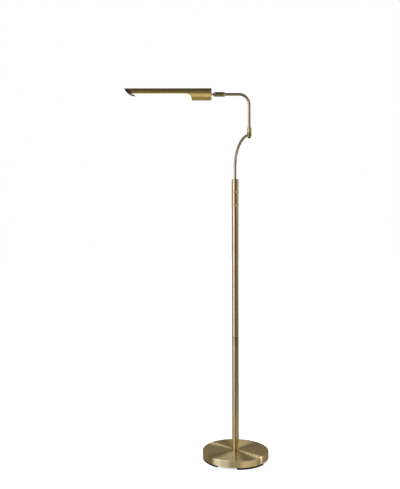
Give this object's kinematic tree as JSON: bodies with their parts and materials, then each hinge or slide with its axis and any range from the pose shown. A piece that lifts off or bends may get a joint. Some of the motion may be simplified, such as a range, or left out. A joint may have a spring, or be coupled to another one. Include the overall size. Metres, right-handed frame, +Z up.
{
  "type": "floor lamp",
  "caption": "Antique brass floor lamp: weighted round base, telescoping pole, swinging bent arms and a half-open tube shade with an opal light strip on a ball swivel.",
  "frame": {"origin": "on the floor under the pole's axis, level with the undersides of the rubber feet", "axes": "+Z up along the pole; the shade points along -X at rest; -Y is the side that the picture shows"},
  "size_m": [0.5427, 0.2636, 1.404],
  "materials": {
    "antique_brass": "brushed, antiqued and lacquered",
    "pale_brass": "satin",
    "dark_bronze": "dark satin",
    "plain_steel": "plain zinc plated",
    "cast_iron": "raw casting",
    "black_steel": "matt black",
    "rubber": "matt",
    "nylon": "natural",
    "aluminium": "extruded",
    "white_plastic": "moulded",
    "opal": "satin opal",
    "driver_case": "moulded",
    "light_chip": "clear gel"
  },
  "bodies": {
    "stand": {"base_cover": "antique_brass", "base_weight": "cast_iron", "base_plate": "black_steel", "plate_screws": "plain_steel", "foot_pads": "rubber", "cord_bushing": "rubber", "pole_stud": "plain_steel", "base_nut": "plain_steel", "base_washer": "plain_steel", "pole_plug": "plain_steel", "foot_ring": "antique_brass", "pole_lower": "antique_brass", "pole_coupler": "plain_steel", "pole_upper": "antique_brass", "core_tube": "plain_steel", "trim_ring_lower": "pale_brass", "switch_track": "nylon", "trim_ring_upper": "pale_brass", "grip_collet": "nylon"},
    "switch_ring": {"switch_sleeve": "antique_brass", "switch_wiper": "pale_brass"},
    "lock": {"lock_collar": "antique_brass"},
    "guide": {"riser_guide": "nylon"},
    "riser": {"riser_rod": "antique_brass", "guide_clips": "plain_steel", "elbow_eye": "antique_brass"},
    "arm": {"elbow_bolt": "plain_steel", "elbow_washers": "nylon", "elbow_cap_nut": "dark_bronze", "elbow_barrel": "pale_brass", "upper_arm": "antique_brass", "arm_flange": "plain_steel"},
    "swivel": {"socket_end_ring": "pale_brass", "swivel_socket": "dark_bronze", "socket_plug": "plain_steel", "spring_washers": "plain_steel", "ball_seat": "nylon"},
    "head": {"ball_stud": "dark_bronze", "shade_shell": "antique_brass", "shade_end_cap": "antique_brass", "stud_washer": "plain_steel", "stud_nut": "plain_steel", "driver": "driver_case", "bulkhead": "white_plastic", "light_tray": "aluminium", "light_board": "white_plastic", "light_chips": "light_chip", "diffuser": "opal", "tray_end_cap": "driver_case", "tray_screws": "plain_steel"}
  },
  "joints": [
    {"name": "switch_turn", "type": "hinge", "parent": "stand", "child": "switch_ring", "pos_m": [0, 0, 1.005], "axis": [0, 0, 1], "range_deg": [-300, 0]},
    {"name": "lock_twist", "type": "hinge", "parent": "stand", "child": "lock", "pos_m": [0, 0, 1.058], "axis": [0, 0, 1], "range_deg": [0, 120]},
    {"name": "riser_slide", "type": "slide", "parent": "stand", "child": "guide", "axis": [0, 0, 1], "range_m": [0, 0.25]},
    {"name": "riser_turn", "type": "hinge", "parent": "guide", "child": "riser", "pos_m": [0, 0, 1.058], "axis": [0, 0, 1], "range_deg": [-170, 170]},
    {"name": "elbow_swing", "type": "hinge", "parent": "riser", "child": "arm", "pos_m": [0.0457, -0.11312, 1.233], "axis": [0, 0, 1], "range_deg": [-165, 165]},
    {"name": "head_roll", "type": "hinge", "parent": "arm", "child": "swivel", "pos_m": [-0.0543, -0.11312, 1.382], "axis": [-1, 0, 0], "range_deg": [-160, 160]},
    {"name": "head_tilt", "type": "hinge", "parent": "swivel", "child": "head", "pos_m": [-0.0833, -0.11312, 1.382], "axis": [0, 1, 0], "range_deg": [-25, 25]}
  ]
}
